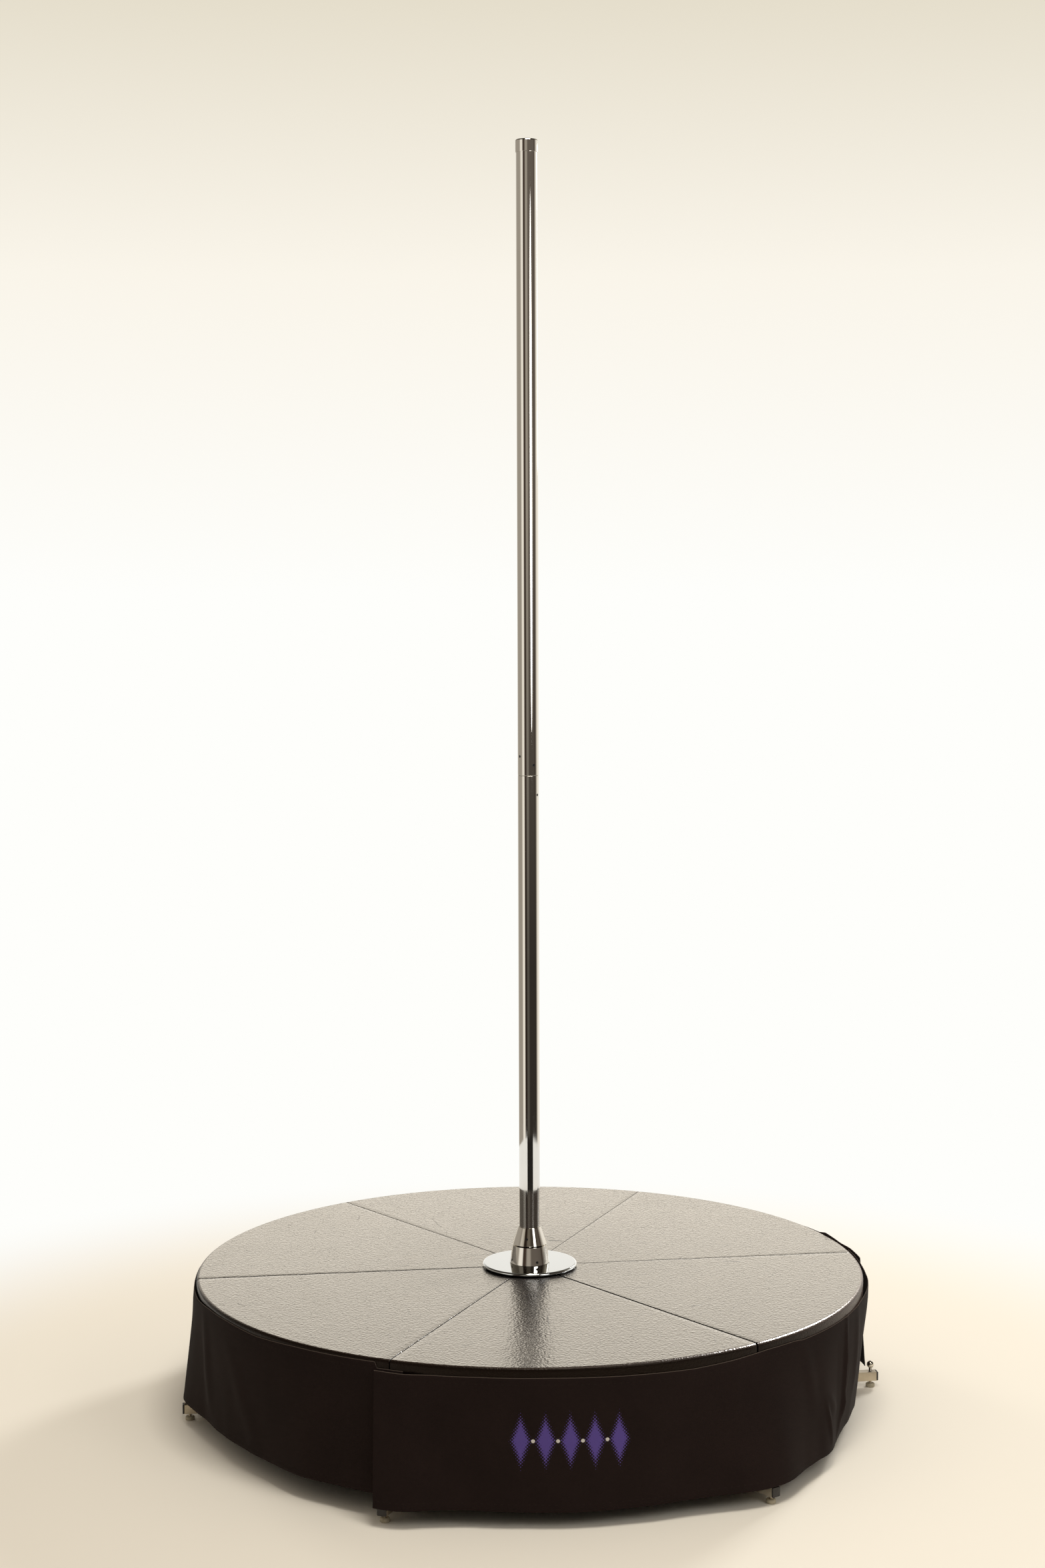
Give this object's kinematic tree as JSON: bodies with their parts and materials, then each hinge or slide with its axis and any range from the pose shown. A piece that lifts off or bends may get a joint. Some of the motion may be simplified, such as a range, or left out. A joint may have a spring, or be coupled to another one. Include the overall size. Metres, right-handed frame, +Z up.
{
  "type": "free-standing dance pole",
  "caption": "Free-standing spinning dance pole on a round stage of wedge panels, with radial legs, levelling feet and a hanging cloth skirt.",
  "frame": {"origin": "on the floor, on the axis of the pole", "axes": "+Z up along the pole, +X along the first leg, which is the right-hand leg in the picture"},
  "size_m": [1.706, 1.7182, 3.0196],
  "materials": {
    "chrome": "bright chrome plate on steel",
    "satin_steel": "satin zinc-plated steel",
    "black_oxide_steel": "black oxide on steel screws",
    "bearing_steel": "ground bearing steel",
    "painted_steel": "black powder coat",
    "deck_board": "plywood under a black, finely pebbled satin laminate with a bull-nosed rim",
    "black_rubber": "matt black rubber",
    "black_plastic": "moulded black plastic",
    "pad_plastic": "moulded beige-grey plastic",
    "skirt_cloth": "plain black polyester cloth with a faint warm tone"
  },
  "bodies": {
    "stage": {"hub_base_plate": "painted_steel", "hub_column": "painted_steel", "hub_top_plate": "painted_steel", "bearing_spacer": "satin_steel", "upper_bearing_outer": "bearing_steel", "lower_bearing_outer": "bearing_steel", "lower_cone": "chrome", "flange_plate": "chrome", "flange_gasket": "black_rubber", "deck_panel_1": "deck_board", "deck_panel_2": "deck_board", "deck_panel_3": "deck_board", "deck_panel_4": "deck_board", "deck_panel_5": "deck_board", "deck_panel_6": "deck_board", "leg_frame_1": "satin_steel", "leg_frame_2": "satin_steel", "leg_frame_3": "satin_steel", "leg_frame_4": "satin_steel", "leg_frame_5": "satin_steel", "leg_frame_6": "satin_steel", "end_cap_1": "black_plastic", "end_cap_2": "black_plastic", "end_cap_3": "black_plastic", "end_cap_4": "black_plastic", "end_cap_5": "black_plastic", "end_cap_6": "black_plastic", "skirt_front": "skirt_cloth", "skirt_left": "skirt_cloth", "skirt_back": "skirt_cloth"},
    "pole": {"lower_tube": "chrome", "upper_tube": "chrome", "tube_joiner": "satin_steel", "top_cap": "chrome", "spin_collar": "chrome", "collar_screw": "black_oxide_steel", "pole_plug": "satin_steel", "stub_circlip": "black_oxide_steel", "upper_bearing_inner": "bearing_steel", "lower_bearing_inner": "bearing_steel", "joiner_screw_1": "black_oxide_steel", "joiner_screw_2": "black_oxide_steel", "joiner_screw_3": "black_oxide_steel", "joiner_screw_4": "black_oxide_steel"},
    "upper_cage": {"upper_bearing_balls": "bearing_steel"},
    "lower_cage": {"lower_bearing_balls": "bearing_steel"},
    "lock_screw_a": {"lock_screw_1": "black_oxide_steel"},
    "lock_screw_b": {"lock_screw_2": "black_oxide_steel"},
    "pad_1": {"foot_pad_1": "pad_plastic"},
    "screw_1": {"foot_screw_1": "chrome"},
    "pad_2": {"foot_pad_2": "pad_plastic"},
    "screw_2": {"foot_screw_2": "chrome"},
    "pad_3": {"foot_pad_3": "pad_plastic"},
    "screw_3": {"foot_screw_3": "chrome"},
    "pad_4": {"foot_pad_4": "pad_plastic"},
    "screw_4": {"foot_screw_4": "chrome"},
    "pad_5": {"foot_pad_5": "pad_plastic"},
    "screw_5": {"foot_screw_5": "chrome"},
    "pad_6": {"foot_pad_6": "pad_plastic"},
    "screw_6": {"foot_screw_6": "chrome"}
  },
  "joints": [
    {"name": "pole_spin", "type": "hinge", "parent": "stage", "child": "pole", "pos_m": [0, 0, 0.3], "axis": [0, 0, 1], "continuous": true},
    {"name": "upper_cage_spin", "type": "hinge", "parent": "stage", "child": "upper_cage", "pos_m": [0, 0, 0.329], "axis": [0, 0, 1], "continuous": true},
    {"name": "lower_cage_spin", "type": "hinge", "parent": "stage", "child": "lower_cage", "pos_m": [0, 0, 0.0275], "axis": [0, 0, 1], "continuous": true},
    {"name": "lock_screw_a_travel", "type": "slide", "parent": "stage", "child": "lock_screw_a", "axis": [-0.2504, 0.9681, 0], "range_m": [0, 0.003]},
    {"name": "lock_screw_b_travel", "type": "slide", "parent": "stage", "child": "lock_screw_b", "axis": [0.9681, 0.2504, 0], "range_m": [0, 0.003]},
    {"name": "foot_1_travel", "type": "slide", "parent": "stage", "child": "pad_1", "axis": [0, 0, -1], "range_m": [-0.006, 0.006]},
    {"name": "foot_1_turn", "type": "hinge", "parent": "pad_1", "child": "screw_1", "pos_m": [0.8515, 0, 0.056], "axis": [0, 0, -1], "range_deg": [-1728.2, 1728.2]},
    {"name": "foot_2_travel", "type": "slide", "parent": "stage", "child": "pad_2", "axis": [0, 0, -1], "range_m": [-0.006, 0.006]},
    {"name": "foot_2_turn", "type": "hinge", "parent": "pad_2", "child": "screw_2", "pos_m": [0.42175, 0.73049, 0.056], "axis": [0, 0, -1], "range_deg": [-1728.2, 1728.2]},
    {"name": "foot_3_travel", "type": "slide", "parent": "stage", "child": "pad_3", "axis": [0, 0, -1], "range_m": [-0.006, 0.006]},
    {"name": "foot_3_turn", "type": "hinge", "parent": "pad_3", "child": "screw_3", "pos_m": [-0.41375, 0.71664, 0.056], "axis": [0, 0, -1], "range_deg": [-1728.2, 1728.2]},
    {"name": "foot_4_travel", "type": "slide", "parent": "stage", "child": "pad_4", "axis": [0, 0, -1], "range_m": [-0.006, 0.006]},
    {"name": "foot_4_turn", "type": "hinge", "parent": "pad_4", "child": "screw_4", "pos_m": [-0.8195, 0, 0.056], "axis": [0, 0, -1], "range_deg": [-1728.2, 1728.2]},
    {"name": "foot_5_travel", "type": "slide", "parent": "stage", "child": "pad_5", "axis": [0, 0, -1], "range_m": [-0.006, 0.006]},
    {"name": "foot_5_turn", "type": "hinge", "parent": "pad_5", "child": "screw_5", "pos_m": [-0.41375, -0.71664, 0.056], "axis": [0, 0, -1], "range_deg": [-1728.2, 1728.2]},
    {"name": "foot_6_travel", "type": "slide", "parent": "stage", "child": "pad_6", "axis": [0, 0, -1], "range_m": [-0.006, 0.006]},
    {"name": "foot_6_turn", "type": "hinge", "parent": "pad_6", "child": "screw_6", "pos_m": [0.42175, -0.73049, 0.056], "axis": [0, 0, -1], "range_deg": [-1728.2, 1728.2]}
  ],
  "couplings": [
    {"joint": "upper_cage_spin", "follows": "pole_spin", "ratio": 0.4365},
    {"joint": "lower_cage_spin", "follows": "pole_spin", "ratio": 0.4036},
    {"joint": "foot_1_turn", "follows": "foot_1_travel", "rad_per_m": 5026.5},
    {"joint": "foot_2_turn", "follows": "foot_2_travel", "rad_per_m": 5026.5},
    {"joint": "foot_3_turn", "follows": "foot_3_travel", "rad_per_m": 5026.5},
    {"joint": "foot_4_turn", "follows": "foot_4_travel", "rad_per_m": 5026.5},
    {"joint": "foot_5_turn", "follows": "foot_5_travel", "rad_per_m": 5026.5},
    {"joint": "foot_6_turn", "follows": "foot_6_travel", "rad_per_m": 5026.5}
  ]
}
